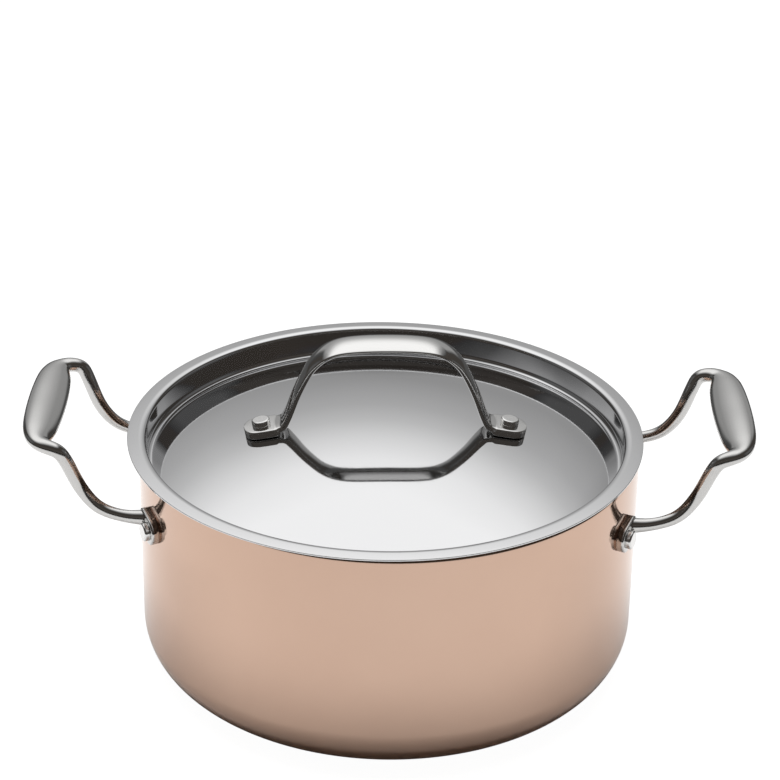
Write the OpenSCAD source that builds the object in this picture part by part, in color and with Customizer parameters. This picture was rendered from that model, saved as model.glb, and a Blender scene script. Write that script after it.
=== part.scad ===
// Two-handled copper casserole with a lift-off stainless steel lid.
// The origin is on the table under the middle of the pot; +Z is up, the handles lie along X.

/* [Pot] */
// Outer radius of the copper wall
pot_r = 122.5; // [100:0.5:160]
// Height of the rim above the table
pot_h = 120; // [90:1:180]
// Outer radius of the corner between wall and base
corner_r = 24; // [10:1:40]
// Thickness of the copper outer layer
copper_t = 0.5; // [0.3:0.1:1.2]
// Thickness of the aluminium middle layer
core_t = 1.1; // [0.6:0.1:3]
// Thickness of the stainless steel inner layer
liner_t = 0.5; // [0.3:0.1:1.2]
// Width of the bevel on the rim's inner edge
rim_bevel_w = 1.4; // [0:0.1:2]
// Height of the bevel on the rim's inner edge
rim_bevel_h = 1.4; // [1.2:0.1:2]

/* [Side handles] */
// Distance from the wall to the middle of the grip
handle_reach = 44.7; // [34:0.1:60]
// Distance between the middle lines of one handle's two arms
arm_gap = 86.8; // [70:0.2:94]
// Height of the grip's middle above the rods' roots
grip_rise = 37.6; // [24:0.2:50]
// Radius of the round rods
rod_r = 2.9; // [2.4:0.1:3.5]
// Width of the grip across the palm
grip_w = 18.8; // [12:0.2:24]
// Thickness of the grip
grip_t = 8.4; // [6:0.2:12]
// Tilt of the grip, outer edge up, in degrees
grip_tilt = 18; // [0:1:30]

/* [Handle feet] */
// Straight distance between the two rivets of one handle
rivet_span = 103; // [94:0.5:116]
// Depth of the rivets below the rim
rivet_drop = 28.4; // [24:0.2:40]
// Thickness of the foot plate at its middle
foot_t = 3.6; // [2.5:0.1:6]
// Radius of the foot plate round the rivet
foot_r = 6.8; // [6:0.1:9]
// Radius of the foot plate round the root of the rod
root_r = 4.9; // [4:0.1:5.8]
// Height of the rod's root above the rivet
root_rise = 3.4; // [3:0.1:8]
// Distance along the wall from the rivet to the rod's root, towards the grip's middle
root_shift = 7.2; // [7:0.1:9]

/* [Lid] */
// Thickness of the lid's sheet
lid_t = 1; // [0.6:0.1:1.6]
// How far the lid's flange reaches past the pot's wall
flange_overhang = 3.5; // [2.4:0.1:6]
// Gap all round between the pot's inside and the lid's short wall
lid_play = 2.4; // [2.3:0.1:7]
// Radius of the bend between flange and short wall
flange_bend_r = 2.7; // [1.8:0.1:5]
// Depth of the lid's channel below its flange
lid_depth = 13.5; // [10:0.1:24]
// Radius of the corner at the bottom of the channel
channel_r = 4.7; // [1:0.1:6]
// Radius of the sphere that the dome's crown is a part of
crown_r = 360; // [300:5:600]
// Distance from the middle at which the round crown passes into straight slopes
crown_reach = 59.4; // [52:0.2:60]
// Width of the dome's rounded shoulder, from the straight slope to the middle of the channel's corner
shoulder_w = 27.9; // [22:0.1:34]
// Radius of the dome's rounded shoulder, in section
shoulder_r = 109; // [95:1:125]
// How far the lid has slipped to the left in its seat
lid_slip = 2; // [0:0.1:2.2]
// How far the lid is turned in its seat, in degrees
lid_turn = 2.5; // [-10:0.5:10]

/* [Lid handle] */
// Distance between the two rivets of the lid handle
lid_rivet_span = 120; // [119:0.2:140]
// Width between the arms' middle lines at the pads
lid_arm_gap = 98.6; // [88:0.2:102]
// Height of the top of the grip above the middle of the dome
lid_grip_rise = 44.6; // [34:0.2:56]
// Thickness of the strap
strap_t = 4.2; // [3:0.1:5]
// Width of the strap in its arms
strap_w = 13; // [9:0.2:15]
// Width of the strap in the middle of its grip
lid_grip_w = 18.2; // [14:0.2:26]
// Thickness of the pads
pad_t = 4.4; // [3:0.1:6]
// Width of the pads
pad_w = 17.4; // [13:0.2:20]

/* [Rivets] */
// Radius of the rivets' shanks
shank_r = 2.6; // [1.8:0.1:3.4]
// Radius of the rivets' outer heads
head_r = 4.5; // [4:0.1:4.8]
// Height of the rivets' outer heads
head_h = 2.7; // [1.5:0.1:4]
// Radius of the rivets' inner heads
inner_head_r = 5.2; // [4:0.1:6.5]
// Height of the rivets' inner heads
inner_head_h = 1.8; // [1:0.1:3]

/* [Fits] */
// Radial clearance of a shank in its holes
shank_gap = 0.05; // [0.01:0.01:0.1]
// Gap between a curved face and what is riveted on it
seat_gap = 0.1; // [0.05:0.01:0.2]

/* [Hidden] */

// Number of flats that stand for a full turn on large and on small rounds
round_n = 144;
small_n = 48;
// Number of flats on a quarter turn of an outline
quarter_n = 10;
// Overrun of every cut past the faces that it goes through
overrun = 1;

wall_t = copper_t + core_t + liner_t;
inner_r = pot_r - wall_t;

// Points on an arc about a centre, from one angle to another
function arc(c, r, a0, a1, n) = [for (i = [0:n]) let (a = a0 + (a1 - a0) * i / n) c + r * [cos(a), sin(a)]];

function unit(v) = v / norm(v);

// Smooth curve through rows of numbers, which keep their meaning column by column
function span_point(p, q, r, s, t) = (2 * q + (r - p) * t + (2 * p - 5 * q + 4 * r - s) * pow(t, 2)
    + (3 * q - p - 3 * r + s) * pow(t, 3)) / 2;
function smooth_rows(rows, steps) = let (m = len(rows)) [
    for (i = [0:m - 2]) for (j = [0:steps - 1])
        span_point(rows[max(i - 1, 0)], rows[i], rows[i + 1], rows[min(i + 2, m - 1)], j / steps),
    rows[m - 1]];

// Round number to the power of a share, with its sign kept
function soft(v, share) = sign(v) * pow(abs(v), share);

// Solid swept along rows of [x, y, z, half width, half thickness].
// up_dir says which way the thickness lies; square_share is 1 for an ellipse and less for a squarer form.
module sweep(rows, up_dir, square_share, sides) {
    m = len(rows);
    place = [for (row = rows) [row[0], row[1], row[2]]];
    rings = [for (i = [0:m - 1])
        let (along = unit(place[min(i + 1, m - 1)] - place[max(i - 1, 0)]),
            wide = unit(cross(along, up_dir)), thick = cross(wide, along))
        for (k = [0:sides - 1]) let (a = 360 * k / sides)
            place[i] + wide * rows[i][3] * soft(cos(a), square_share)
                + thick * rows[i][4] * soft(sin(a), square_share)];
    sides_faces = [for (i = [0:m - 2]) for (k = [0:sides - 1])
        let (a = i * sides + k, b = i * sides + (k + 1) % sides, c = b + sides, d = a + sides)
        for (face = [[a, b, c], [a, c, d]]) face];
    first_end = [for (k = [0:sides - 1]) sides - 1 - k];
    last_end = [for (k = [0:sides - 1]) (m - 1) * sides + k];
    polyhedron(rings, concat([first_end], sides_faces, [last_end]), convexity = 6);
}

// Rivet standing on its seat at z = 0, its outer head upwards.
// Its inner head's face lies reach below the seat.
head_edge_r = head_h / 3;
module rivet(reach) {
    inner_dome_r = (pow(inner_head_r, 2) + pow(inner_head_h, 2)) / (2 * inner_head_h);
    inner_half = asin(inner_head_r / inner_dome_r);
    rotate_extrude($fn = small_n) polygon(concat(
        [[0, head_h]],
        arc([head_r - head_edge_r, head_h - head_edge_r], head_edge_r, 90, 0, quarter_n),
        [[head_r, 0], [shank_r, 0], [shank_r, -reach]],
        arc([0, -reach + inner_dome_r - inner_head_h], inner_dome_r, -90 + inner_half, -90, quarter_n)));
}

// The pot's three clad layers

// Half section of the pot's outside, shrunk by an inset, up to a given height
module cup_half(inset, top) {
    polygon(concat([[0, inset]],
        arc([pot_r - corner_r, corner_r], corner_r - inset, -90, 0, quarter_n),
        [[pot_r - inset, top], [0, top]]));
}

foot_az = asin(rivet_span / 2 / pot_r);
rivet_z = pot_h - rivet_drop;

// Puts its children where a handle's rivet goes through the wall, their +Z outwards and their +Y up.
// side is 1 on the right and -1 on the left, row is 1 at the rear and -1 at the front.
module at_wall_rivet(side, row) {
    mirror([(1 - side) / 2, 0, 0]) rotate([0, 0, row * foot_az]) translate([0, 0, rivet_z])
        rotate([90, 0, 90]) children();
}

// One clad layer, its rim bevelled on the inside and drilled for the rivets
module wall_layer(inset, thickness) {
    difference() {
        rotate_extrude($fn = round_n) difference() {
            cup_half(inset, pot_h);
            cup_half(inset + thickness, pot_h + overrun);
            polygon([[inner_r, pot_h - rim_bevel_h], [inner_r + rim_bevel_w, pot_h],
                [inner_r + rim_bevel_w, pot_h + overrun], [0, pot_h + overrun], [0, pot_h - rim_bevel_h]]);
        }
        for (side = [-1, 1]) for (row = [-1, 1]) at_wall_rivet(side, row)
            translate([0, 0, inner_r - overrun])
                cylinder(h = wall_t + 2 * overrun, r = shank_r + shank_gap, $fn = small_n);
    }
}

module copper_shell() color("#c68a6b") wall_layer(0, copper_t);

module aluminium_core() color("#b4b7ba") wall_layer(copper_t, core_t);

module steel_liner() color("#c9cbcc") wall_layer(copper_t + core_t, liner_t);

// The side handles

root_az = foot_az - root_shift / pot_r * 180 / PI;
root_z = rivet_z + root_rise;
foot_face_r = pot_r + foot_t;
arm_y = arm_gap / 2;

// Middle line of half a handle, from its root to the middle of its grip.
// Shares of: the reach outwards, the arm's distance from the middle, and the rise of the grip.
reach_shares = [0.09, 0.36, 0.545, 0.66, 0.74, 0.865, 0.955, 0.995, 1, 1, 1];
arm_shares = [1.03, 1.01, 0.99, 0.99, 1, 0.99, 0.95, 0.85, 0.65, 0.33, 0];
rise_shares = [0.005, 0.115, 0.39, 0.705, 0.862, 0.95, 0.998, 1.016, 1.015, 1.005, 1];
// How far each of those places is from the rod's section, 0, to the grip's section, 1
grip_shares = [0, 0, 0, 0, 0, 0.05, 0.18, 0.50, 0.82, 0.96, 1];
// Sides of the swept rods, and rings from one place to the next
rod_sides = 16;
rod_steps = 3;

root_rows = [[(foot_face_r - foot_t / 2) * cos(root_az), (foot_face_r - foot_t / 2) * sin(root_az), root_z,
    (root_r + rod_r) / 2, (root_r + rod_r) / 2]];
half_rows = concat(root_rows, [for (i = [0:len(reach_shares) - 1]) let (g = grip_shares[i]) [
    pot_r + reach_shares[i] * handle_reach, arm_shares[i] * arm_y, root_z + rise_shares[i] * grip_rise,
    rod_r + g * (grip_w / 2 - rod_r), rod_r + g * (grip_t / 2 - rod_r)]]);
half_last = len(half_rows) - 1;
handle_rows = concat(
    [for (row = half_rows) [row[0], -row[1], row[2], row[3], row[4]]],
    [for (i = [1:half_last]) half_rows[half_last - i]]);

// Outline of a foot plate: a round about the rivet and a smaller one about the root, joined by straight edges
module foot_outline(row) {
    to_root = [-row * root_shift, root_rise];
    gap = norm(to_root);
    turn = atan2(root_rise, -row * root_shift);
    lean = acos((foot_r - root_r) / gap);
    polygon(concat(arc([0, 0], foot_r, turn + lean, 360 + turn - lean, 3 * quarter_n),
        arc(to_root, root_r, turn - lean, turn + lean, quarter_n)));
}

// Foot plate with its back hollowed to the wall, and its rivet hole
module handle_foot(row) {
    difference() {
        at_wall_rivet(1, row) translate([0, 0, inner_r])
            linear_extrude(height = foot_face_r - inner_r) foot_outline(row);
        translate([0, 0, rivet_z - foot_r - overrun])
            cylinder(h = 2 * foot_r + root_rise + root_r + 2 * overrun, r = pot_r + seat_gap, $fn = round_n);
        at_wall_rivet(1, row) translate([0, 0, pot_r - overrun])
            cylinder(h = foot_t + 2 * overrun, r = shank_r + shank_gap, $fn = small_n);
    }
}

module side_handle() {
    union() {
        handle_foot(-1);
        handle_foot(1);
        sweep(smooth_rows(handle_rows, rod_steps), [-sin(grip_tilt), 0, cos(grip_tilt)], 1, rod_sides);
    }
}

module right_handle() color("#a9a7a3") side_handle();

module left_handle() color("#a9a7a3") mirror([1, 0, 0]) side_handle();

// The rivets of the side handles: the inner head's flat face clears the hollow wall behind it
inner_seat_r = sqrt(pow(inner_r, 2) - pow(inner_head_r, 2)) - seat_gap;

module wall_rivet(side, row) {
    color("#b9b8b5") at_wall_rivet(side, row) translate([0, 0, foot_face_r]) rivet(foot_face_r - inner_seat_r);
}

module left_front_rivet() wall_rivet(-1, -1);

module left_rear_rivet() wall_rivet(-1, 1);

module right_front_rivet() wall_rivet(1, -1);

module right_rear_rivet() wall_rivet(1, 1);

// The lid

// Middles of the arcs in the lid's section: flange bend, channel corner, dome's shoulder and crown
flange_z = pot_h + lid_t;
flange_r = pot_r + flange_overhang;
lid_wall_r = inner_r - lid_play - lid_t;
bend_mid = [lid_wall_r + flange_bend_r, flange_z - flange_bend_r];
channel_mid = [lid_wall_r - channel_r, flange_z - lid_depth + channel_r];
crown_half = asin(crown_reach / crown_r);
slope_reach = channel_mid[0] - shoulder_w;
shoulder_x = slope_reach - shoulder_r * sin(crown_half);
shoulder_mid = [shoulder_x,
    channel_mid[1] - sqrt(pow(shoulder_r + channel_r, 2) - pow(channel_mid[0] - shoulder_x, 2))];
shoulder_half = asin((channel_mid[0] - shoulder_x) / (shoulder_r + channel_r));
crown_mid = [0, shoulder_mid[1] + (slope_reach - crown_reach) * tan(crown_half)
    - (crown_r - shoulder_r) * cos(crown_half)];
dome_top = crown_mid[1] + crown_r;

// Line of the lid's section from the middle of the dome to the flange's edge, a depth below its top face
function lid_line(depth) = concat(
    arc(crown_mid, crown_r - depth, 90, 90 - crown_half, quarter_n),
    arc(shoulder_mid, shoulder_r - depth, 90 - crown_half, 90 - shoulder_half, quarter_n),
    arc(channel_mid, channel_r + depth, -90 - shoulder_half, 0, quarter_n),
    arc(bend_mid, flange_bend_r - depth, 180, 90, quarter_n),
    [[flange_r, flange_z - depth]]);

// Puts its children on the dome's straight slope where the lid handle's rivet stands, their +Z along the rivet
lid_rivet_z = crown_mid[1] + crown_r * cos(crown_half) - (lid_rivet_span / 2 - crown_reach) * tan(crown_half);
module at_lid_rivet(side) {
    translate([side * lid_rivet_span / 2, 0, lid_rivet_z]) rotate([0, side * crown_half, 0]) children();
}

module at_lid() translate([-lid_slip, 0, 0]) rotate([0, 0, lid_turn]) children();

module lid_shell() {
    under = lid_line(lid_t);
    color("#c3c5c8") at_lid() difference() {
        rotate_extrude($fn = round_n)
            polygon(concat(lid_line(0), [for (i = [len(under) - 1:-1:0]) under[i]]));
        for (side = [-1, 1]) at_lid_rivet(side) translate([0, 0, -lid_t - overrun])
            cylinder(h = lid_t + 2 * overrun, r = shank_r + shank_gap, $fn = small_n);
    }
}

// The lid handle: its pads clear the dome's bulge by the seat gap at their middles
lid_grip_z = dome_top + lid_grip_rise - strap_t / 2;
lid_arm_x = lid_arm_gap / 2;
pad_mid_z = crown_mid[1] + sqrt(pow(crown_r, 2) - pow(lid_arm_x, 2)) + seat_gap + strap_t / 2;

// Middle line of half the strap, from the pad up to the middle of its grip.
// Shares of: the arm's distance from the middle, and the grip's height over the pad.
strap_x_shares = [1.10, 1.04, 1.005, 0.977, 0.88, 0.775, 0.70, 0.60, 0.455, 0.236, 0];
strap_z_shares = [-0.011, 0.004, 0.03, 0.131, 0.408, 0.665, 0.79, 0.895, 0.965, 0.994, 1];
// How far each of those places is from the arm's width, 0, to the grip's width, 1
strap_w_shares = [0.55, 0.52, 0.42, 0.28, 0.04, 0.18, 0.40, 0.68, 0.88, 0.98, 1];
strap_sides = 20;
strap_steps = 3;
strap_square_share = 0.7;

strap_half_rows = [for (i = [0:len(strap_x_shares) - 1]) [
    strap_x_shares[i] * lid_arm_x, 0, pad_mid_z + strap_z_shares[i] * (lid_grip_z - pad_mid_z),
    strap_t / 2, (strap_w + strap_w_shares[i] * (lid_grip_w - strap_w)) / 2]];
strap_last = len(strap_half_rows) - 1;
strap_rows = concat(
    [for (row = strap_half_rows) [-row[0], row[1], row[2], row[3], row[4]]],
    [for (i = [1:strap_last]) strap_half_rows[strap_last - i]]);

module lid_pad(side) {
    pad_in = (lid_rivet_span - lid_arm_gap + strap_t) / 2;
    at_lid_rivet(side) translate([0, 0, seat_gap]) linear_extrude(height = pad_t) {
        circle(r = pad_w / 2, $fn = small_n);
        translate([-(1 + side) / 2 * pad_in, -pad_w / 2]) square([pad_in, pad_w]);
    }
}

module lid_handle() {
    color("#9c9b98") at_lid() difference() {
        union() {
            sweep(smooth_rows(strap_rows, strap_steps), [0, 1, 0], strap_square_share, strap_sides);
            for (side = [-1, 1]) lid_pad(side);
        }
        for (side = [-1, 1]) at_lid_rivet(side) translate([0, 0, -overrun])
            cylinder(h = pad_t + 3 * overrun, r = shank_r + shank_gap, $fn = small_n);
    }
}

module lid_rivet(side) {
    color("#b9b8b5") at_lid() at_lid_rivet(side) translate([0, 0, pad_t + seat_gap])
        rivet(pad_t + 2 * seat_gap + lid_t);
}

module lid_left_rivet() lid_rivet(-1);

module lid_right_rivet() lid_rivet(1);

copper_shell();
aluminium_core();
steel_liner();
left_handle();
right_handle();
left_front_rivet();
left_rear_rivet();
right_front_rivet();
right_rear_rivet();
lid_shell();
lid_handle();
lid_left_rivet();
lid_right_rivet();
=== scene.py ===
import math

import bmesh
import bpy
from mathutils import Matrix, Vector


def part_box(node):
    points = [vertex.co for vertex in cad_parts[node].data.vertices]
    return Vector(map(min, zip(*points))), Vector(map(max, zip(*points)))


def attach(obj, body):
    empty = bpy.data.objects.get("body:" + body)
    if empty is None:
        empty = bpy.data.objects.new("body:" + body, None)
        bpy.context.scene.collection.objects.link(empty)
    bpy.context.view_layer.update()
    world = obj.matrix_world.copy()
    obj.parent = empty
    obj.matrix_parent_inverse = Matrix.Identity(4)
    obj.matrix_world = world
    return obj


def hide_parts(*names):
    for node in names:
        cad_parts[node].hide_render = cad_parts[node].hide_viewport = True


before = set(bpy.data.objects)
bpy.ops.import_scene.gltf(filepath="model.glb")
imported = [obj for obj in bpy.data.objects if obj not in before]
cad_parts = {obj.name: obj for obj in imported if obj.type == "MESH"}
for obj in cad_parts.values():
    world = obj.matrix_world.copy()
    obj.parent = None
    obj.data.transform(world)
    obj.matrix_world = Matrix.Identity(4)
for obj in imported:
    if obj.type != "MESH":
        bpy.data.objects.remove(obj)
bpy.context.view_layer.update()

# Two-handled copper casserole with a domed steel lid, dressed round its CAD frame.
# Lengths are in metres in the frame's own axes: +Z up, the side handles along X, the camera at -Y.
scene = bpy.context.scene
MM = 0.001


# Copper shell
# The pot's outside: one deep-drawn sheet of copper, polished, bonded to the aluminium core.
# It runs from the rim down a straight wall, round the corner, and across the whole base.
POT_R = 122.5 * MM
POT_H = 120 * MM
CORNER_R = 24 * MM
COPPER_T = 0.5 * MM
CORE_T = 1.1 * MM
LINER_T = 0.5 * MM
# The rim is ground to a slope that falls to the inside
RIM_BEVEL_W = 1.4 * MM
RIM_BEVEL_H = 1.4 * MM
# Steps round the pot, turned as one sector that is then repeated
POT_STEPS = 288
SECTORS = 16
WALL_STEPS = 24
CORNER_STEPS = 40
# Straight run beside a round, which keeps the flat faces' shading flat
SUPPORT = 0.35 * MM
# Vertices nearer than this are one: the last sector's seam misses the first by a tenth of it
MERGE = 0.001 * MM
# Scratches run two ways: the turn of each set in radians, and its lines per metre along X, Y and Z
SCRATCHES = ((0.35, (30, 900, 900)), (1.9, (900, 40, 900)))
SCRATCH_NOISE = {"Scale": 1.0, "Detail": 3.0, "Roughness": 0.65}
SCRATCH_STOPS = ((0.56, 0.0), (0.72, 1.0))
SCRATCH_HEIGHT = 0.6
SCRATCH_WEAR = 0.25
CLOUD_NOISE = {"Scale": 22.0, "Detail": 5.0, "Roughness": 0.6}
GRAIN_NOISE = {"Scale": 900.0, "Detail": 2.0}
WEAR_FROM, WEAR_TO = 0.2, 0.9
COPPER_MARKS = 0.003 * MM
COPPER_ROUGH = (0.06, 0.13)
COPPER_NOISE = {"Scale": 9.0, "Detail": 4.0, "Roughness": 0.55}
COPPER_TONES = ((0.3, (0.57, 0.392, 0.302, 1)), (0.7, (0.608, 0.426, 0.331, 1)))
NODE_SETTINGS = ("operation", "blend_type", "data_type")


def arc(mid, radius, start, end, count):
    """Points (r, z) on an arc about mid, from one angle to another, in degrees."""
    angles = [math.radians(start + (end - start) * i / count) for i in range(count + 1)]
    return [(mid[0] + radius * math.cos(a), mid[1] + radius * math.sin(a)) for a in angles]


def line(start, end, count):
    """Points (r, z) on a straight line, ends included."""
    return [(start[0] + (end[0] - start[0]) * i / count, start[1] + (end[1] - start[1]) * i / count)
            for i in range(count + 1)]


def outline_loop(bm, points, closed):
    """Vertices through points, joined by edges in their order."""
    verts = [bm.verts.new(point) for point in points]
    pairs = list(zip(verts, verts[1:])) + ([(verts[-1], verts[0])] if closed else [])
    return verts, [bm.edges.new(pair) for pair in pairs]


def lathe(outline, steps, place=Matrix.Identity(4)):
    """Mesh turned about Z from an outline of (r, z), which begins and ends on the axis."""
    bm = bmesh.new()
    verts, edges = outline_loop(bm, [(r, 0, z) for r, z in outline], False)
    sector = math.tau / SECTORS
    bmesh.ops.spin(bm, geom=verts + edges, axis=(0, 0, 1), cent=(0, 0, 0), angle=sector,
                   steps=steps // SECTORS)
    bmesh.ops.spin(bm, geom=bm.verts[:] + bm.edges[:] + bm.faces[:], axis=(0, 0, 1), cent=(0, 0, 0),
                   angle=math.tau - sector, steps=SECTORS - 1, use_duplicate=True)
    bmesh.ops.remove_doubles(bm, verts=bm.verts, dist=MERGE)
    bmesh.ops.dissolve_degenerate(bm, edges=bm.edges, dist=MERGE / 10)
    bmesh.ops.transform(bm, matrix=place, verts=bm.verts)
    bmesh.ops.recalc_face_normals(bm, faces=bm.faces)
    return bm


def dress(bm, name, material, body, nodes):
    """Makes a smooth-shaded piece of a mesh, which rides on a body and stands for CAD nodes."""
    mesh = bpy.data.meshes.new(name)
    bm.to_mesh(mesh)
    bm.free()
    mesh.shade_smooth()
    mesh.materials.append(material)
    obj = bpy.data.objects.new(name, mesh)
    scene.collection.objects.link(obj)
    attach(obj, body)
    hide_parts(*nodes)


def adder(tree):
    """Function that adds a node to a tree and sets or wires its inputs, by name or as i and a number."""
    def add(kind, **sockets):
        node = tree.nodes.new(kind)
        for key, value in sockets.items():
            if key in NODE_SETTINGS:
                setattr(node, key, value)
                continue
            numbered = key[0] == "i" and key[1:].isdigit()
            socket = node.inputs[int(key[1:])] if numbered else node.inputs[key]
            if isinstance(value, bpy.types.NodeSocket):
                tree.links.new(value, socket)
            else:
                socket.default_value = value
        return node
    return add


def new_material(name):
    """Material, the function that adds its nodes, and its shader node."""
    material = bpy.data.materials.new(name)
    material.use_nodes = True
    return material, adder(material.node_tree), material.node_tree.nodes["Principled BSDF"]


def ramp(add, factor, stops):
    """Output of a colour ramp through (place, grey or colour) stops."""
    node = add("ShaderNodeValToRGB", Fac=factor)
    elements = node.color_ramp.elements
    while len(elements) < len(stops):
        elements.new(0.5)
    for element, (place, value) in zip(elements, stops):
        element.position = place
        element.color = value if isinstance(value, tuple) else (value, value, value, 1)
    return node.outputs[0]


def marks_group():
    """Node group of polishing marks: fine scratches in two directions and soft cloudy wear.

    It puts out a height for a bump and a mask from 0 to 1 for the roughness."""
    group = bpy.data.node_groups.new("polishing_marks", "ShaderNodeTree")
    group.interface.new_socket("Vector", in_out="INPUT", socket_type="NodeSocketVector")
    group.interface.new_socket("Height", in_out="OUTPUT", socket_type="NodeSocketFloat")
    group.interface.new_socket("Wear", in_out="OUTPUT", socket_type="NodeSocketFloat")
    add = adder(group)
    place = add("NodeGroupInput").outputs["Vector"]
    scratches = []
    for turn, lines in SCRATCHES:
        turned = add("ShaderNodeMapping", Vector=place, Rotation=(0, 0, turn), Scale=lines)
        noise = add("ShaderNodeTexNoise", Vector=turned.outputs[0], **SCRATCH_NOISE)
        scratches.append(ramp(add, noise.outputs[0], SCRATCH_STOPS))
    both = add("ShaderNodeMath", operation="MAXIMUM", i0=scratches[0], i1=scratches[1])
    clouds = add("ShaderNodeTexNoise", Vector=place, **CLOUD_NOISE)
    grain = add("ShaderNodeTexNoise", Vector=place, **GRAIN_NOISE)
    height = add("ShaderNodeMath", operation="MULTIPLY_ADD", i0=both.outputs[0], i1=SCRATCH_HEIGHT,
                 i2=grain.outputs[0])
    wear = add("ShaderNodeMath", operation="MULTIPLY_ADD", i0=both.outputs[0], i1=SCRATCH_WEAR,
               i2=clouds.outputs[0])
    wear.use_clamp = True
    add("NodeGroupOutput", Height=height.outputs[0], Wear=wear.outputs[0])
    return group


MARKS = marks_group()


def marked_metal(name, depth, low, high):
    """Metal with polishing marks, at a bump depth and between two levels of roughness.

    Gives its material, the function that adds its nodes, its shader node and its coordinates."""
    material, add, shader = new_material(name)
    place = add("ShaderNodeTexCoord").outputs["Object"]
    marks = add("ShaderNodeGroup")
    marks.node_tree = MARKS
    bump = add("ShaderNodeBump", Height=marks.outputs["Height"], Strength=1.0, Distance=depth)
    rough = add("ShaderNodeMapRange", i0=marks.outputs["Wear"], i1=WEAR_FROM, i2=WEAR_TO, i3=low, i4=high)
    links = material.node_tree.links
    links.new(place, marks.inputs["Vector"])
    links.new(rough.outputs[0], shader.inputs["Roughness"])
    links.new(bump.outputs[0], shader.inputs["Normal"])
    shader.inputs["Metallic"].default_value = 1
    return material, add, shader, place


def polished_copper():
    material, add, shader, place = marked_metal("polished_copper", COPPER_MARKS, *COPPER_ROUGH)
    noise = add("ShaderNodeTexNoise", Vector=place, **COPPER_NOISE)
    tone = ramp(add, noise.outputs[0], COPPER_TONES)
    material.node_tree.links.new(tone, shader.inputs["Base Color"])
    return material


def cup(inset, thickness):
    """Outline of one clad layer: up its outside from the axis, over the rim, and back down inside."""
    mid = (POT_R - CORNER_R, CORNER_R)
    inner_edge = POT_R - COPPER_T - CORE_T - LINER_T
    bevel_from = inner_edge + RIM_BEVEL_W
    outline = []
    for depth, order in ((inset, 1), (inset + thickness, -1)):
        cut = max(0, bevel_from - POT_R + depth) * RIM_BEVEL_H / RIM_BEVEL_W
        side = line((0, depth), (mid[0] - SUPPORT, depth), WALL_STEPS)
        side += arc(mid, CORNER_R - depth, -90, 0, CORNER_STEPS)
        side += line((POT_R - depth, CORNER_R + SUPPORT), (POT_R - depth, POT_H - cut), WALL_STEPS)
        outline += side[::order]
        if order > 0 and POT_R - inset - thickness < bevel_from < POT_R - inset:
            outline.append((bevel_from, POT_H))
    return outline


dress(lathe(cup(0, COPPER_T), POT_STEPS), "copper_outside", polished_copper(),
      "pot", ["copper_shell"])


# Aluminium core
# The heat-spreading middle layer of the clad sheet. Only its edge shows, as a pale line
# between copper and steel on the ground rim when the lid is off.
CORE_MARKS = 0.01 * MM
CORE_ROUGH = (0.32, 0.5)
CORE_COLOR = (0.72, 0.73, 0.74, 1)


def core_aluminium():
    material, _, shader, _ = marked_metal("core_aluminium", CORE_MARKS, *CORE_ROUGH)
    shader.inputs["Base Color"].default_value = CORE_COLOR
    return material


dress(lathe(cup(COPPER_T, CORE_T), POT_STEPS), "clad_core", core_aluminium(),
      "pot", ["aluminium_core"])


# Steel liner
# The pot's inside: a thin sheet of stainless steel, bonded to the core and drawn with it. It has
# the ring-shaped brushing of a turned cooking surface.
LINER_MARKS = 0.006 * MM
LINER_ROUGH = (0.24, 0.4)
LINER_COLOR = (0.76, 0.755, 0.745, 1)
# Lines of the brushing per metre outwards, per radian round the pot, and per metre upwards
BRUSH_LINES = (2600, 1.5, 2600)
BRUSH_NOISE = {"Scale": 1.0, "Detail": 2.0}
BRUSH_DEPTH = 0.012 * MM


def brushed_liner():
    material, add, shader, place = marked_metal("brushed_liner", LINER_MARKS, *LINER_ROUGH)
    split = add("ShaderNodeSeparateXYZ", Vector=place)
    flat = add("ShaderNodeCombineXYZ", X=split.outputs[0], Y=split.outputs[1])
    radius = add("ShaderNodeVectorMath", operation="LENGTH", i0=flat.outputs[0])
    turn = add("ShaderNodeMath", operation="ARCTAN2", i0=split.outputs[1], i1=split.outputs[0])
    rings = add("ShaderNodeCombineXYZ", X=radius.outputs["Value"], Y=turn.outputs[0],
                Z=split.outputs[2])
    stretched = add("ShaderNodeMapping", Vector=rings.outputs[0], Scale=BRUSH_LINES)
    brush = add("ShaderNodeTexNoise", Vector=stretched.outputs[0], **BRUSH_NOISE)
    # The brushing lies over the polishing marks
    marked = shader.inputs["Normal"].links[0].from_socket
    bump = add("ShaderNodeBump", Height=brush.outputs[0], Strength=1.0, Distance=BRUSH_DEPTH,
               Normal=marked)
    material.node_tree.links.new(bump.outputs[0], shader.inputs["Normal"])
    shader.inputs["Base Color"].default_value = LINER_COLOR
    return material


dress(lathe(cup(COPPER_T + CORE_T, LINER_T), POT_STEPS), "steel_inside", brushed_liner(),
      "pot", ["steel_liner"])


# Side handles
# Each is one steel casting: a palm-wide grip between two round rods that sweep down to foot
# plates, riveted to the wall. The rods flare where they grow out of the plates.
HANDLE_REACH = 44.7 * MM
ARM_Y = 43.4 * MM
GRIP_RISE = 37.6 * MM
ROD_R = 2.9 * MM
ROD_SWELL = 0.5 * MM
ROD_SIDES = 32
ROD_STEPS = 10
ROD_PASSES = 12
GRIP_W = 18.8 * MM
GRIP_T = 8.4 * MM
GRIP_TILT = math.radians(18)
FOOT_T = 3.6 * MM
FOOT_R = 6.8 * MM
FOOT_GAP = 0.1 * MM
FOOT_EDGE_R = 0.9 * MM
FOOT_STEPS = 36
FOOT_EDGE_STEPS = 8
ROOT_R = 4.9 * MM
ROOT_RISE = 3.4 * MM
ROOT_SHIFT = 7.2 * MM
ROOT_STEPS = 14
FOOT_Y = 51.5 * MM
RIVET_DROP = 28.4 * MM
RIVET_Z = POT_H - RIVET_DROP
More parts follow.
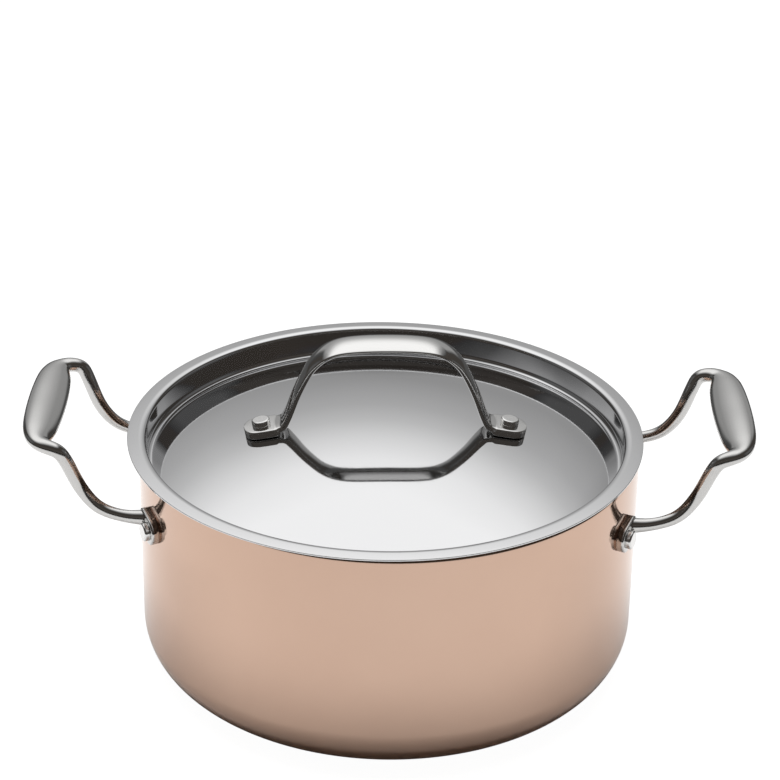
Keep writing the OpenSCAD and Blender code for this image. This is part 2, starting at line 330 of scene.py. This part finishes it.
FOOT_AZ = math.asin(FOOT_Y / POT_R)
ROOT_AZ = FOOT_AZ - ROOT_SHIFT / POT_R
ROOT_Z = RIVET_Z + ROOT_RISE
# Stations from the wall to the middle of the grip, as shares: how far out, how far from the
# handle's middle, how high, how much of the grip's section, and how much of the rods' swell
REACH = (0.09, 0.36, 0.545, 0.66, 0.74, 0.865, 0.954, 0.993, 0.998, 0.998, 0.998)
ARM = (1.03, 1.01, 0.99, 1.02, 1.055, 1.03, 0.96, 0.85, 0.65, 0.33, 0)
RISE = (0.005, 0.115, 0.39, 0.73, 0.92, 0.975, 0.985, 0.99, 0.995, 1, 1)
GRIP = (0, 0, 0, 0, 0.01, 0.09, 0.24, 0.52, 0.82, 0.96, 1)
SWELL = (0.1, 0.4, 0.8, 1, 1, 0.9, 0.5, 0.2, 0, 0, 0)
HANDLE_MARKS = 0.004 * MM
HANDLE_ROUGH = (0.08, 0.16)
HANDLE_COLOR = (0.57, 0.565, 0.555, 1)


def smooth_rows(rows, steps, passes):
    """Dense rows through given ones, then evened out so that curvature runs on without a break."""
    dense = []
    last = len(rows) - 1
    for i in range(last):
        p, q, r, s = rows[max(i - 1, 0)], rows[i], rows[i + 1], rows[min(i + 2, last)]
        for j in range(steps):
            t = j / steps
            dense.append([(2 * b + (c - a) * t + (2 * a - 5 * b + 4 * c - d) * t * t
                           + (3 * b - a - 3 * c + d) * t ** 3) / 2 for a, b, c, d in zip(p, q, r, s)])
    dense.append(list(rows[last]))
    for _ in range(passes):
        dense = [dense[0]] + [[(a + 2 * b + c) / 4 for a, b, c in zip(*dense[i - 1:i + 2])]
                              for i in range(1, len(dense) - 1)] + [dense[-1]]
    return dense


def oval(half_w, half_t):
    """Section of a rod or of a pebble-shaped grip, as (across, up) points."""
    turns = [math.tau * k / ROD_SIDES for k in range(ROD_SIDES)]
    return [(half_w * math.cos(a), half_t * math.sin(a)) for a in turns]


def sweep(bm, rows, up, section):
    """Closed solid swept along rows of x, y, z and what the section's outline is made from."""
    places = [Vector(row[:3]) for row in rows]
    rings = []
    for i, row in enumerate(rows):
        along = (places[min(i + 1, len(rows) - 1)] - places[max(i - 1, 0)]).normalized()
        wide = along.cross(up).normalized()
        thick = wide.cross(along)
        points = [places[i] + wide * a + thick * b for a, b in section(*row[3:])]
        rings.append(outline_loop(bm, points, True))
    skin(bm, rings)


def skin(bm, rings):
    """Bridges each ring of vertices and edges to the next one, and closes the first and the last."""
    for ring, following in zip(rings, rings[1:]):
        bmesh.ops.bridge_loops(bm, edges=ring[1] + following[1])
    for ring in (rings[0], rings[-1]):
        bmesh.ops.contextual_create(bm, geom=ring[0])


def satin_steel(name, depth, rough, color):
    material, _, shader, _ = marked_metal(name, depth, *rough)
    shader.inputs["Base Color"].default_value = color
    return material


def foot_plate(bm, row):
    """Teardrop plate on the wall, its outer edge rounded, for the rear (1) or front (-1) foot."""
    lean = math.acos((FOOT_R - ROOT_R) / math.hypot(ROOT_SHIFT, ROOT_RISE))
    turn = math.atan2(ROOT_RISE, -row * ROOT_SHIFT)
    rim = []
    for k in range(FOOT_STEPS + 1):
        a = turn + lean + (math.tau - 2 * lean) * k / FOOT_STEPS
        rim.append((0, 0, FOOT_R, a))
    for k in range(1, ROOT_STEPS):
        a = turn - lean + 2 * lean * k / ROOT_STEPS
        rim.append((-row * ROOT_SHIFT, ROOT_RISE, ROOT_R, a))
    wall = POT_R + FOOT_GAP
    edge_mid = POT_R + FOOT_T - FOOT_EDGE_R
    levels = [(None, 0)]
    for k in range(FOOT_EDGE_STEPS + 1):
        a = math.pi / 2 * k / FOOT_EDGE_STEPS
        levels.append((edge_mid + FOOT_EDGE_R * math.sin(a), FOOT_EDGE_R - FOOT_EDGE_R * math.cos(a)))
    turned = Matrix.Rotation(row * FOOT_AZ, 4, "Z")
    rings = []
    for height, shrink in levels:
        ring = []
        for cx, cy, r, a in rim:
            across = cx + (r - shrink) * math.cos(a)
            up = cy + (r - shrink) * math.sin(a)
            out = math.sqrt(wall ** 2 - across ** 2) if height is None else height
            ring.append(turned @ Vector((out, across, RIVET_Z + up)))
        rings.append(outline_loop(bm, ring, True))
    skin(bm, rings)


def side_handle(side):
    """Whole casting of the right (1) or left (-1) handle."""
    root_out = POT_R + FOOT_T / 2
    flare_r = (ROOT_R + ROD_R) / 2
    half = [[root_out * math.cos(ROOT_AZ), root_out * math.sin(ROOT_AZ), ROOT_Z, flare_r, flare_r]]
    for reach, arm, rise, g, swell in zip(REACH, ARM, RISE, GRIP, SWELL):
        half.append([POT_R + reach * HANDLE_REACH, arm * ARM_Y, ROOT_Z + rise * GRIP_RISE,
                     ROD_R + swell * ROD_SWELL + g * (GRIP_W / 2 - ROD_R),
                     ROD_R + swell * ROD_SWELL + g * (GRIP_T / 2 - ROD_R)])
    rows = [[x, -y, z, w, t] for x, y, z, w, t in half] + half[-2::-1]
    up = Vector((-math.sin(GRIP_TILT), 0, math.cos(GRIP_TILT)))
    bm = bmesh.new()
    sweep(bm, smooth_rows(rows, ROD_STEPS, ROD_PASSES), up, oval)
    for row in (-1, 1):
        foot_plate(bm, row)
    if side < 0:
        bmesh.ops.scale(bm, vec=(-1, 1, 1), verts=bm.verts)
    bmesh.ops.recalc_face_normals(bm, faces=bm.faces)
    return bm


HANDLE_STEEL = satin_steel("handle_steel", HANDLE_MARKS, HANDLE_ROUGH, HANDLE_COLOR)
dress(side_handle(-1), "left_side_handle", HANDLE_STEEL, "pot", ["left_handle"])
dress(side_handle(1), "right_side_handle", HANDLE_STEEL, "pot", ["right_handle"])


# Handle rivets
# Solid steel rivets, two per handle, driven through the foot plate and the wall. Each has a
# flat-topped round head outside and a low domed one inside.
SHANK_R = 2.6 * MM
HEAD_R = 4.5 * MM
HEAD_H = 2.7 * MM
HEAD_EDGE_R = 0.9 * MM
# Degrees above the level at which the round of the head's edge begins
HEAD_EDGE_FROM = 82
HEAD_FOOT_H = 0.3 * MM
HEAD_TOP_STEPS = 5
HEAD_EDGE_STEPS = 8
INNER_HEAD_R = 5.2 * MM
INNER_HEAD_H = 1.8 * MM
INNER_HEAD_STEPS = 10
RIVET_STEPS = 48
SEAT_GAP = 0.1 * MM
INNER_R = POT_R - COPPER_T - CORE_T - LINER_T
RIVET_MARKS = 0.005 * MM
RIVET_ROUGH = (0.12, 0.22)
RIVET_COLOR = (0.74, 0.735, 0.725, 1)
RIVET_STEEL = satin_steel("rivet_steel", RIVET_MARKS, RIVET_ROUGH, RIVET_COLOR)


def rivet(reach, place):
    """Rivet whose two heads sit a reach apart, the outer one's seat at the place's origin."""
    dome_r = (INNER_HEAD_R ** 2 + INNER_HEAD_H ** 2) / (2 * INNER_HEAD_H)
    dome_mid = (0, -reach + dome_r - INNER_HEAD_H)
    half = math.degrees(math.asin(INNER_HEAD_R / dome_r))
    outline = line((0, HEAD_H), (HEAD_R - HEAD_EDGE_R, HEAD_H), HEAD_TOP_STEPS)
    outline += arc((HEAD_R - HEAD_EDGE_R, HEAD_H - HEAD_EDGE_R), HEAD_EDGE_R,
                   HEAD_EDGE_FROM, 0, HEAD_EDGE_STEPS)
    outline += [(HEAD_R, HEAD_FOOT_H), (HEAD_R, 0), (SHANK_R, 0), (SHANK_R, -reach)]
    outline += arc(dome_mid, dome_r, -90 + half, -90, INNER_HEAD_STEPS)[:-1]
    outline += [(0, -reach - INNER_HEAD_H)]
    return lathe(outline, RIVET_STEPS, place)


inner_seat = math.sqrt(INNER_R ** 2 - INNER_HEAD_R ** 2) - SEAT_GAP
outer_seat = POT_R + FOOT_T
for side, side_name in ((-1, "left"), (1, "right")):
    for row, row_name in ((-1, "front"), (1, "rear")):
        turn = row * FOOT_AZ if side > 0 else math.pi - row * FOOT_AZ
        place = Matrix.Rotation(turn, 4, "Z") @ Matrix.Translation((outer_seat, 0, RIVET_Z))
        place = place @ Matrix.Rotation(math.radians(90), 4, "Y")
        node = f"{side_name}_{row_name}_rivet"
        dress(rivet(outer_seat - inner_seat, place), node + "_turned", RIVET_STEEL,
              "pot", [node])


# Lid shell
# Pressed from one sheet of stainless steel and mirror-polished: a flat flange lies on the rim,
# a short wall drops into the pot, and a shallow dome rises from the channel inside it.
LID_T = 1 * MM
LID_SHIFT = -2 * MM
LID_TURN = math.radians(2.5)
LID_PLAY = 2.4 * MM
LID_DEPTH = 13.5 * MM
FLANGE_OVERHANG = 3.49 * MM
FLANGE_R = POT_R + FLANGE_OVERHANG
FLANGE_BEND_R = 1.9 * MM
CREST_R = 6 * MM
# In degrees: the fall of the flange's top, and the angles at which its crest and its edge's round begin
FLANGE_SLOPE = 4.5
CREST_FROM = 108
EDGE_TOP_FROM = 75
# The flange's flat top runs between these distances from its edge, which is rounded above and below
FLAT_FROM = 1.5 * MM
FLAT_TO = 0.3 * MM
EDGE_TOP_R = 0.25 * MM
EDGE_FOOT_R = 0.1 * MM
CHANNEL_R = 2.6 * MM
CROWN_R = 360 * MM
CROWN_REACH = 59.4 * MM
SHOULDER_W = 30 * MM
SLOPE_R = 650 * MM
CROWN_STEPS, SLOPE_STEPS, SHOULDER_STEPS, CHANNEL_STEPS = 30, 14, 24, 36
BEND_STEPS, CREST_STEPS, FLAT_STEPS, EDGE_TOP_STEPS, EDGE_FOOT_STEPS = 14, 8, 3, 4, 3
LID_MARKS = 0.001 * MM
LID_ROUGH = (0.03, 0.08)
LID_COLOR = (0.62, 0.62, 0.625, 1)
AT_LID = Matrix.Translation((LID_SHIFT, 0, 0)) @ Matrix.Rotation(LID_TURN, 4, "Z")
flange_z = POT_H + LID_T
lid_wall_r = INNER_R - LID_PLAY - LID_T
bend_mid = (lid_wall_r + FLANGE_BEND_R, flange_z - FLANGE_BEND_R)
channel_mid = (lid_wall_r - CHANNEL_R, flange_z - LID_DEPTH + CHANNEL_R)
crown_half = math.asin(CROWN_REACH / CROWN_R)
slope_reach = channel_mid[0] - SHOULDER_W
dome_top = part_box("lid_shell")[1][2]
crown_mid = (0, dome_top - CROWN_R)
slope_mid = (CROWN_REACH - SLOPE_R * math.sin(crown_half),
             crown_mid[1] + (CROWN_R - SLOPE_R) * math.cos(crown_half))
slope_half = math.asin((slope_reach - slope_mid[0]) / SLOPE_R)
# The shoulder runs on from the slope and touches the channel's round
slope_end = (slope_reach, slope_mid[1] + SLOPE_R * math.cos(slope_half))
across, above = slope_end[0] - channel_mid[0], slope_end[1] - channel_mid[1]
shoulder_r = ((across ** 2 + above ** 2 - CHANNEL_R ** 2)
              / (2 * (across * math.sin(slope_half) + above * math.cos(slope_half) + CHANNEL_R)))
shoulder_mid = (slope_end[0] - shoulder_r * math.sin(slope_half),
                slope_end[1] - shoulder_r * math.cos(slope_half))
shoulder_half = math.asin((channel_mid[0] - shoulder_mid[0]) / (shoulder_r + CHANNEL_R))


def lid_line(depth):
    """The lid's section from the middle of the dome to its wall, a depth below its top face."""
    crown, slope, shoulder = (math.degrees(a) for a in (crown_half, slope_half, shoulder_half))
    points = arc(crown_mid, CROWN_R - depth, 90, 90 - crown, CROWN_STEPS)[:-1]
    points += arc(slope_mid, SLOPE_R - depth, 90 - crown, 90 - slope, SLOPE_STEPS)[:-1]
    points += arc(shoulder_mid, shoulder_r - depth, 90 - slope, 90 - shoulder, SHOULDER_STEPS)[:-1]
    points += arc(channel_mid, CHANNEL_R + depth, -90 - shoulder, 0, CHANNEL_STEPS)
    return [(abs(r), z) for r, z in points]


def lid_section():
    """Whole outline of the sheet: its flange has a soft crest, and its top falls away to the edge."""
    lean = math.radians(CREST_FROM)
    crest_mid = (bend_mid[0] + (FLANGE_BEND_R - CREST_R) * math.cos(lean),
                 bend_mid[1] + (FLANGE_BEND_R - CREST_R) * math.sin(lean))
    outline = lid_line(0) + arc(bend_mid, FLANGE_BEND_R, 180, CREST_FROM, BEND_STEPS)[:-1]
    outline += arc(crest_mid, CREST_R, CREST_FROM, 90 - FLANGE_SLOPE, CREST_STEPS)
    fall = math.tan(math.radians(FLANGE_SLOPE))
    edge_z = outline[-1][1] - (FLANGE_R - outline[-1][0]) * fall
    outline += line((FLANGE_R - FLAT_FROM, edge_z + FLAT_FROM * fall), (FLANGE_R - FLAT_TO, edge_z),
                    FLAT_STEPS)
    outline += arc((FLANGE_R - EDGE_TOP_R, edge_z - EDGE_TOP_R), EDGE_TOP_R,
                   EDGE_TOP_FROM, 0, EDGE_TOP_STEPS)
    outline += arc((FLANGE_R - EDGE_FOOT_R, POT_H + EDGE_FOOT_R), EDGE_FOOT_R, 0, -90, EDGE_FOOT_STEPS)
    outline += arc(bend_mid, FLANGE_BEND_R - LID_T, 90, 180, BEND_STEPS)
    return outline + lid_line(LID_T)[::-1]


def mirror_steel():
    material, _, shader, _ = marked_metal("mirror_steel", LID_MARKS, *LID_ROUGH)
    shader.inputs["Base Color"].default_value = LID_COLOR
    return material


dress(lathe(lid_section(), POT_STEPS, AT_LID), "lid_pressing", mirror_steel(),
      "lid", ["lid_shell"])


# Lid handle
# A steel strap, forged and bent: rounded pads lie on the dome, slim arms rise from them and lean
# inwards, and the strap widens to a crowned, palm-wide grip that leans a little to the front.
LID_RIVET_X = 60 * MM
LID_ARM_X = 49.3 * MM
STRAP_T = 4.2 * MM
STRAP_W = 13 * MM
STRAP_STEPS = 6
STRAP_PASSES = 6
LID_GRIP_W = 17.2 * MM
LID_GRIP_DROP = 0.15 * MM
GRIP_LEAN = math.radians(5)
PAD_T = 4.4 * MM
PAD_W = 17.4 * MM
# The pad's end is fuller than a circle: this power of its cosine and sine, from these degrees on
PAD_FULLNESS = 0.8
PAD_ROUND_FROM = 4
PAD_STEPS = 8
PAD_CROWN = 0.15 * MM
ARM_CROWN = 0.5 * MM
GRIP_CROWN = 1.3 * MM
PAD_EDGE_R = 0.9 * MM
ARM_EDGE_R = 1.2 * MM
GRIP_EDGE_R = 1.2 * MM
EDGE_STEPS = 7
# Inside the rivet the pad narrows: distance from the rivet in millimetres, and share of its width
PAD_NECK = ((-2, 1), (-4.5, 0.99), (-7, 0.97))
# Stations from the pad to the middle of the grip, as shares: how far out, how high, how much of
# the grip's width beyond the strap's, and how much of the grip's crown and edges
STRAP_OUT = (1.055, 1.012, 0.985, 0.945, 0.88, 0.775, 0.70, 0.60, 0.455, 0.236, 0)
STRAP_RISE = (0.01, 0.035, 0.09, 0.20, 0.408, 0.665, 0.79, 0.895, 0.965, 0.994, 1)
STRAP_WIDEN = (0.52, 0.40, 0.24, 0.10, 0.04, 0.18, 0.40, 0.68, 0.88, 0.98, 1)
STRAP_CROWN = (0, 0, 0, 0, 0.1, 0.3, 0.5, 0.75, 0.92, 1, 1)
# Points across a flat face, as shares of its half width, and the most that a narrow bar may
# spend on its rounded edges and its crown, as shares of the same
FACE_POINTS = (-0.84, -0.62, -0.4, -0.2, 0, 0.2, 0.4, 0.62, 0.84)
MOST_EDGE = 0.7
MOST_CROWN = 0.2
STRAP_MARKS = 0.004 * MM
STRAP_ROUGH = (0.08, 0.15)
STRAP_COLOR = (0.66, 0.655, 0.645, 1)
lid_grip_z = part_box("lid_handle")[1][2] - LID_GRIP_DROP - STRAP_T / 2
lid_rivet_z = (crown_mid[1] + CROWN_R * math.cos(crown_half)
               - (LID_RIVET_X - CROWN_REACH) * math.tan(crown_half))


def strap_rows():
    """Middle line of the whole strap, from one pad's end over the grip to the other's."""
    at_rivet = Vector((math.sin(crown_half), math.cos(crown_half)))
    out = Vector((at_rivet[1], -at_rivet[0]))
    seat = Vector((LID_RIVET_X, lid_rivet_z)) + at_rivet * (SEAT_GAP + PAD_T / 2)
    pad = []
    for k in range(PAD_STEPS + 1):
        a = math.radians(PAD_ROUND_FROM + (90 - PAD_ROUND_FROM) * k / PAD_STEPS)
        pad.append((PAD_W / 2 * math.cos(a) ** PAD_FULLNESS, math.sin(a) ** PAD_FULLNESS))
    pad += [(shift * MM, share) for shift, share in PAD_NECK]
    half = []
    for shift, share in pad:
        spot = seat + out * shift
        half.append([spot[0], 0, spot[1], PAD_T / 2, PAD_W / 2 * share, PAD_CROWN, PAD_EDGE_R])
    pad_z = crown_mid[1] + math.sqrt(CROWN_R ** 2 - LID_ARM_X ** 2) + SEAT_GAP + STRAP_T / 2
    for x, z, w, g in zip(STRAP_OUT, STRAP_RISE, STRAP_WIDEN, STRAP_CROWN):
        half.append([x * LID_ARM_X, 0, pad_z + z * (lid_grip_z - pad_z),
                     STRAP_T / 2, (STRAP_W + w * (LID_GRIP_W - STRAP_W)) / 2,
                     ARM_CROWN + g * (GRIP_CROWN - ARM_CROWN),
                     ARM_EDGE_R + g * (GRIP_EDGE_R - ARM_EDGE_R)])
    return [[-row[0]] + row[1:] for row in half] + half[-2::-1]


def bar(half_t, half_w, crown, edge):
    """Section of a flat bar, as (up, across) points: crowned faces that run on into rounded edges."""
    edge = min(edge, MOST_EDGE * half_w)
    crown = min(crown, MOST_CROWN * half_w)
    lean = math.atan2(2 * crown, half_w - edge)
    corner = arc((half_t - crown - edge * math.cos(lean), half_w - edge), edge,
                 math.degrees(lean), 90, EDGE_STEPS)
    reach = half_w - edge * (1 - math.sin(lean))
    face = [(half_t - crown * t * t, t * reach) for t in FACE_POINTS]
    points = corner + [(-up, across) for up, across in corner[::-1]]
    points += [(-up, -across) for up, across in face + corner]
    points += [(up, -across) for up, across in corner[::-1]] + face
    # The grip leans a little to the front, and the arms don't
    lean = GRIP_LEAN * max(0, (crown - ARM_CROWN) / (GRIP_CROWN - ARM_CROWN))
    return [(up * math.cos(lean) + across * math.sin(lean),
             across * math.cos(lean) - up * math.sin(lean)) for up, across in points]


def lid_strap():
    bm = bmesh.new()
    sweep(bm, smooth_rows(strap_rows(), STRAP_STEPS, STRAP_PASSES), Vector((0, 1, 0)), bar)
    bmesh.ops.transform(bm, matrix=AT_LID, verts=bm.verts)
    bmesh.ops.recalc_face_normals(bm, faces=bm.faces)
    return bm


STRAP_STEEL = satin_steel("strap_steel", STRAP_MARKS, STRAP_ROUGH, STRAP_COLOR)
dress(lid_strap(), "lid_strap_handle", STRAP_STEEL, "lid", ["lid_handle"])


# Lid rivets
# The same steel rivets, driven through the pads and the dome. Their flat-topped heads stand on
# the pads, and their low heads show inside the lid.
for side, node in ((-1, "lid_left_rivet"), (1, "lid_right_rivet")):
    place = AT_LID @ Matrix.Translation((side * LID_RIVET_X, 0, lid_rivet_z))
    place = place @ Matrix.Rotation(side * crown_half, 4, "Y")
    place = place @ Matrix.Translation((0, 0, PAD_T + SEAT_GAP))
    dress(rivet(PAD_T + 2 * SEAT_GAP + LID_T, place), node + "_turned", RIVET_STEEL,
          "lid", [node])


# Studio floor
# A wide white floor, which the camera sees washed out to white with a trace of the pot's shadow.
# Metal sees it run out into the dim room all round, and into the grey of the backdrop behind.
FLOOR_SIZE = 12
FLOOR_CELLS = 8
FLOOR_COLOR = (0.9, 0.9, 0.9, 1)
FLOOR_ROUGH = 0.9
FLOOR_SPECULAR = 0.1
FLOOR_WASH = 0.86
FLOOR_WHITE = 1.13
DIM_GREY = 0.04
DIM_FROM, DIM_TO = 0.55, 0.95
BACKDROP_GREY = 0.10
BACKDROP_FROM, BACKDROP_TO = 0.28, 0.45


def times(add, one, other):
    return add("ShaderNodeMath", operation="MULTIPLY", i0=one, i1=other).outputs[0]


def share_between(add, value, start, end):
    """Share from 0 to 1 as a value goes from a start to an end."""
    return add("ShaderNodeMapRange", i0=value, i1=start, i2=end, i3=0.0, i4=1.0).outputs[0]


def studio_floor():
    bm = bmesh.new()
    bmesh.ops.create_grid(bm, x_segments=FLOOR_CELLS, y_segments=FLOOR_CELLS, size=FLOOR_SIZE)
    mesh = bpy.data.meshes.new("floor")
    bm.to_mesh(mesh)
    bm.free()
    material, add, shader = new_material("floor_white")
    shader.inputs["Base Color"].default_value = FLOOR_COLOR
    shader.inputs["Roughness"].default_value = FLOOR_ROUGH
    shader.inputs["Specular IOR Level"].default_value = FLOOR_SPECULAR
    rays = add("ShaderNodeLightPath")
    seen, mirrored = rays.outputs["Is Camera Ray"], rays.outputs["Is Glossy Ray"]
    place = add("ShaderNodeTexCoord").outputs["Object"]
    reach = add("ShaderNodeVectorMath", operation="LENGTH", i0=place).outputs["Value"]
    rear = add("ShaderNodeSeparateXYZ", Vector=place).outputs[1]
    around = share_between(add, reach, DIM_FROM, DIM_TO)
    behind = share_between(add, rear, BACKDROP_FROM, BACKDROP_TO)
    surface = shader.outputs[0]
    for share, level in ((times(add, seen, FLOOR_WASH), FLOOR_WHITE),
                         (times(add, around, mirrored), DIM_GREY),
                         (times(add, behind, mirrored), BACKDROP_GREY)):
        plain = add("ShaderNodeEmission", Strength=level).outputs[0]
        surface = add("ShaderNodeMixShader", i0=share, i1=surface, i2=plain).outputs[0]
    end = material.node_tree.nodes["Material Output"]
    material.node_tree.links.new(surface, end.inputs["Surface"])
    mesh.materials.append(material)
    floor = bpy.data.objects.new("floor", mesh)
    scene.collection.objects.link(floor)


studio_floor()


# Studio room
# The camera sees plain white. What the metal mirrors is a soft box overhead, a grey backdrop low
# behind the pot, grey walls to the left and right, and a dim, warm room in front.
BOX_GLOW = 1.38
# By the angle over the pot, from 0 at the rear horizon past 0.5 overhead to 1 at the front horizon
BOX_REAR = ((0.0, 0.08), (0.035, 0.28), (0.11, 0.42), (0.145, 0.54), (0.178, 0.72), (0.217, 0.90),
            (0.265, 1.0))
BOX_FRONT = ((0.0, 1.0), (0.40, 1.0), (0.52, 0.5), (0.60, 0.12), (0.7, 0.0), (1.0, 0.0))
BACKDROP_TALL = ((0.0, 0.08), (0.035, 0.28), (0.16, 0.31), (0.23, 0.0), (1.0, 0.0))
ROOM = ((0.0, (0.05, 0.046, 0.042, 1)), (0.60, (0.055, 0.047, 0.040, 1)),
        (0.74, (0.045, 0.04, 0.035, 1)), (0.82, (0.06, 0.054, 0.049, 1)),
        (0.93, (0.06, 0.054, 0.049, 1)), (0.97, (0.03, 0.026, 0.023, 1)),
        (1.0, (0.012, 0.011, 0.010, 1)))
# By how far a direction points to the side, from 0 to 1; the box hangs a little to the left
BOX_SIDES = ((0.0, 1.0), (0.44, 1.0), (0.58, 0.55), (0.71, 0.08), (0.79, 0.0), (1.0, 0.0))
BOX_LEFT = 0.10
BACKDROP_WIDE = ((0.0, 1.0), (0.47, 1.0), (0.60, 0.0), (1.0, 0.0))
WALLS_BESIDE = ((0.0, 0.0), (0.68, 0.0), (0.85, 0.10), (1.0, 0.10))
# By how far it points up, and to the rear
WALLS_TALL = ((0.0, 0.0), (0.15, 1.0), (0.5, 1.0), (0.75, 0.0), (1.0, 0.0))
WALLS_FROM, WALLS_TO = -0.35, -0.05
# The box's lower edge, to the rear, is bowed: it rises to both sides with the square of how far
BOW = -0.62
BOW_LEFT = 0.05


def lighter(add, one, other):
    """The lighter of two colours."""
    return add("ShaderNodeMix", data_type="RGBA", blend_type="LIGHTEN", i0=1.0, i6=one,
               i7=other).outputs[2]


def studio_room():
    world = bpy.data.worlds.new("studio")
    scene.world = world
    world.use_nodes = True
    tree = world.node_tree
    add = adder(tree)
    split = add("ShaderNodeSeparateXYZ", Vector=add("ShaderNodeTexCoord").outputs["Generated"])
    aside, rear, up = split.outputs
    over = add("ShaderNodeMath", operation="ARCTAN2", i0=up, i1=rear).outputs[0]
    over = add("ShaderNodeMath", operation="DIVIDE", i0=over, i1=math.pi).outputs[0]
    to_side = add("ShaderNodeMath", operation="ABSOLUTE", i0=aside).outputs[0]
    from_bow = add("ShaderNodeMath", operation="ADD", i0=aside, i1=BOW_LEFT).outputs[0]
    bow = times(add, from_bow, from_bow)
    lower = add("ShaderNodeMath", operation="MULTIPLY_ADD", i0=bow, i1=BOW, i2=over).outputs[0]
    from_box = add("ShaderNodeMath", operation="ADD", i0=aside, i1=BOX_LEFT).outputs[0]
    from_box = add("ShaderNodeMath", operation="ABSOLUTE", i0=from_box).outputs[0]
    box = times(add, ramp(add, lower, BOX_REAR), ramp(add, from_box, BOX_SIDES))
    box = times(add, box, ramp(add, over, BOX_FRONT))
    backdrop = times(add, ramp(add, over, BACKDROP_TALL), ramp(add, to_side, BACKDROP_WIDE))
    walls = times(add, ramp(add, to_side, WALLS_BESIDE),
                  share_between(add, rear, WALLS_FROM, WALLS_TO))
    walls = times(add, walls, ramp(add, up, WALLS_TALL))
    glow = ramp(add, over, ROOM)
    for light in (backdrop, box, walls):
        glow = lighter(add, glow, light)
    glow = add("ShaderNodeVectorMath", operation="SCALE", i0=glow, Scale=BOX_GLOW).outputs[0]
    seen = add("ShaderNodeLightPath").outputs["Is Camera Ray"]
    level = add("ShaderNodeMix", data_type="RGBA", i0=seen, i6=glow, i7=(1, 1, 1, 1))
    back = tree.nodes["Background"]
    tree.links.new(level.outputs[2], back.inputs["Color"])
    back.inputs["Strength"].default_value = 1.0


studio_room()


# Studio light
# A wide area light over and behind the pot, aimed down at it. It lights the floor and throws the
# soft shadow. Metal doesn't mirror it: it mirrors the soft box of the room instead.
LAMP_PLACE = (-0.1, 0.45, 2.1)
LAMP_W = 2.0
LAMP_D = 1.5
LAMP_WATTS = 45


def ceiling_light():
    data = bpy.data.lights.new("ceiling", "AREA")
    data.shape = "RECTANGLE"
    data.size = LAMP_W
    data.size_y = LAMP_D
    data.energy = LAMP_WATTS
    obj = bpy.data.objects.new("ceiling", data)
    obj.location = LAMP_PLACE
    obj.rotation_euler = (math.atan2(-LAMP_PLACE[1], LAMP_PLACE[2]), 0, 0)
    obj.visible_glossy = False
    scene.collection.objects.link(obj)


ceiling_light()


# Camera
# It stands where the photograph was taken from: in front of the pot, looking 26.4 degrees down.
CAMERA_PLACE = (-0.0001, -1.0403, 0.6581)
CAMERA_TILT = math.radians(63.633)
CAMERA_ROLL = math.radians(0.934)
LENS_MM = 110.28
SENSOR_MM = 36
NEAR, FAR = 0.01, 100


def camera():
    data = bpy.data.cameras.new("camera")
    data.lens = LENS_MM
    data.sensor_width = SENSOR_MM
    data.clip_start = NEAR
    data.clip_end = FAR
    obj = bpy.data.objects.new("camera", data)
    obj.matrix_world = (Matrix.Translation(CAMERA_PLACE) @ Matrix.Rotation(CAMERA_TILT, 4, "X")
                        @ Matrix.Rotation(CAMERA_ROLL, 4, "Z"))
    scene.collection.objects.link(obj)
    scene.camera = obj


camera()
scene.view_settings.view_transform = "Standard"
